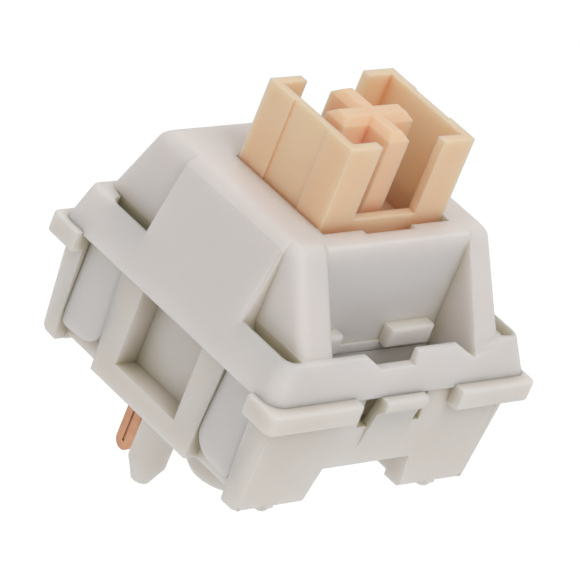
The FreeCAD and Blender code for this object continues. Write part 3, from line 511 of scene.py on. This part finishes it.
def dress_nodes():
    """Materials for every node, and the pieces that stand in for three of them."""
    # The third colour of each plastic is painted shade for its recesses: olive-grey on the roof, dark olive on
    # the base, deep orange on the stem.
    roof = moulded_plastic(
        "milky_roof", (0.80, 0.755, 0.73), (0.78, 0.73, 0.70), (0.66, 0.60, 0.44),
        reach=1.6 * MM, roughness=0.45, depth=1.1 * MM, edge_radius=0.09 * MM,
    )
    base = moulded_plastic(
        "milky_base", (0.80, 0.76, 0.72), (0.78, 0.72, 0.66), (0.42, 0.36, 0.20),
        reach=1.8 * MM, roughness=0.48, depth=1.1 * MM, edge_radius=0.06 * MM,
    )
    peach = moulded_plastic(
        "peach_stem", (0.95, 0.66, 0.46), (0.93, 0.61, 0.40), (0.84, 0.42, 0.21),
        reach=0.8 * MM, roughness=0.42, depth=1.0 * MM, edge_radius=0.1 * MM,
    )
    copper = rolled_metal("rose_copper", (0.62, 0.35, 0.22), (0.46, 0.24, 0.15), 0.42, 1500.0)
    gold = rolled_metal("contact_metal", (0.80, 0.62, 0.33), (0.70, 0.50, 0.26), 0.25, 3000.0)
    steel = rolled_metal("spring_wire", (0.56, 0.56, 0.57), (0.42, 0.42, 0.44), 0.3, 2500.0)
    dress("top_housing", roof)
    dress("bottom_housing", base)
    reshaped("top_housing", "roof_shell", roof, roof_form)
    reshaped("bottom_housing", "base_shell", base, base_form)
    dress("stem", peach)
    for node in ("fixed_contact", "moving_contact"):
        dress(node, copper)
    for node in ("fixed_contact_point", "moving_contact_point"):
        dress(node, gold)
    dress("return_spring", steel)
    add_spring(steel)


def either_ray(tree, one, other):
    """1 for a ray of either of two kinds, and 0 for others."""
    rays = tree.nodes.new("ShaderNodeLightPath")
    seen = tree.nodes.new("ShaderNodeMath")
    seen.operation = "MAXIMUM"
    tree.links.new(rays.outputs[one], seen.inputs[0])
    tree.links.new(rays.outputs[other], seen.inputs[1])
    return seen.outputs[0]


def add_floor():
    """A wide white floor well below the switch, which is held in the air as in the photograph."""
    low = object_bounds()[0].z - FLOOR_DROP
    half = FLOOR_HALF
    mesh = bpy.data.meshes.new("floor")
    corners = [(-half, -half, low), (half, -half, low), (half, half, low), (-half, half, low)]
    mesh.from_pydata(corners, [], [(0, 1, 2, 3)])
    floor = bpy.data.objects.new("floor", mesh)
    bpy.context.scene.collection.objects.link(floor)
    material, tree, shader = new_material("white_floor")
    seen = either_ray(tree, "Is Camera Ray", "Is Glossy Ray")
    tree.links.new(mix(tree, seen, FLOOR_GREY, WHITE), shader.inputs["Base Color"])
    glow = tree.nodes.new("ShaderNodeMath")
    glow.operation = "MULTIPLY"
    glow.inputs[1].default_value = FLOOR_GLOW
    tree.links.new(seen, glow.inputs[0])
    tree.links.new(glow.outputs[0], shader.inputs["Emission Strength"])
    shader.inputs["Emission Color"].default_value = (*WHITE, 1.0)
    shader.inputs["Roughness"].default_value = FLOOR_ROUGHNESS
    shader.inputs["Specular IOR Level"].default_value = 0.0
    mesh.materials.append(material)


def add_world():
    """A plain white surround that lights the switch at its own level."""
    world = bpy.data.worlds.new("studio")
    bpy.context.scene.world = world
    world.use_nodes = True
    tree = world.node_tree
    tree.nodes.clear()
    output = tree.nodes.new("ShaderNodeOutputWorld")
    shader = tree.nodes.new("ShaderNodeBackground")
    tree.links.new(shader.outputs["Background"], output.inputs["Surface"])
    strength = tree.nodes.new("ShaderNodeMix")
    tree.links.new(either_ray(tree, "Is Camera Ray", "Is Transmission Ray"), strength.inputs["Factor"])
    strength.inputs["A"].default_value = WORLD_LIGHT
    strength.inputs["B"].default_value = 1.0
    tree.links.new(strength.outputs["Result"], shader.inputs["Strength"])


def toward(azimuth, elevation):
    """The direction from the switch to a place round it: azimuth 0 is -Y and 90 is +X."""
    flat = math.cos(elevation)
    return Vector((math.sin(azimuth) * flat, -math.cos(azimuth) * flat, math.sin(elevation)))


def add_lamp(name, azimuth, elevation, distance, width, level):
    """A square soft lamp that gives a white face turned to it the radiance `level`."""
    light = bpy.data.lights.new(name, "AREA")
    light.shape = "SQUARE"
    light.size = width
    light.energy = level * math.pi * math.pi * distance ** 2
    lamp = bpy.data.objects.new(name, light)
    back = toward(math.radians(azimuth), math.radians(elevation))
    lamp.location = CAMERA_AIM + back * distance
    lamp.rotation_mode = "QUATERNION"
    lamp.rotation_quaternion = back.to_track_quat("Z", "Y")
    bpy.context.scene.collection.objects.link(lamp)


def add_camera():
    """The camera, where the photograph was taken from."""
    data = bpy.data.cameras.new("camera")
    data.sensor_width = SENSOR_MM
    data.lens = FOCAL_PIXELS / PICTURE_PIXELS * SENSOR_MM
    data.clip_start = CAMERA_NEAR
    data.clip_end = CAMERA_FAR
    camera = bpy.data.objects.new("camera", data)
    back = toward(CAMERA_AZIMUTH, CAMERA_ELEVATION)
    level = Vector((math.cos(CAMERA_AZIMUTH), math.sin(CAMERA_AZIMUTH), 0.0))
    upward = back.cross(level)
    right = math.cos(CAMERA_ROLL) * level + math.sin(CAMERA_ROLL) * upward
    up = math.cos(CAMERA_ROLL) * upward - math.sin(CAMERA_ROLL) * level
    turn = Matrix((right, up, back)).transposed()
    camera.matrix_world = Matrix.Translation(CAMERA_AIM + back * CAMERA_DISTANCE) @ turn.to_4x4()
    bpy.context.scene.collection.objects.link(camera)
    bpy.context.scene.camera = camera


bpy.context.scene.view_settings.view_transform = "Standard"
dress_nodes()
add_floor()
add_world()
for lamp in LAMPS:
    add_lamp(*lamp)
add_camera()
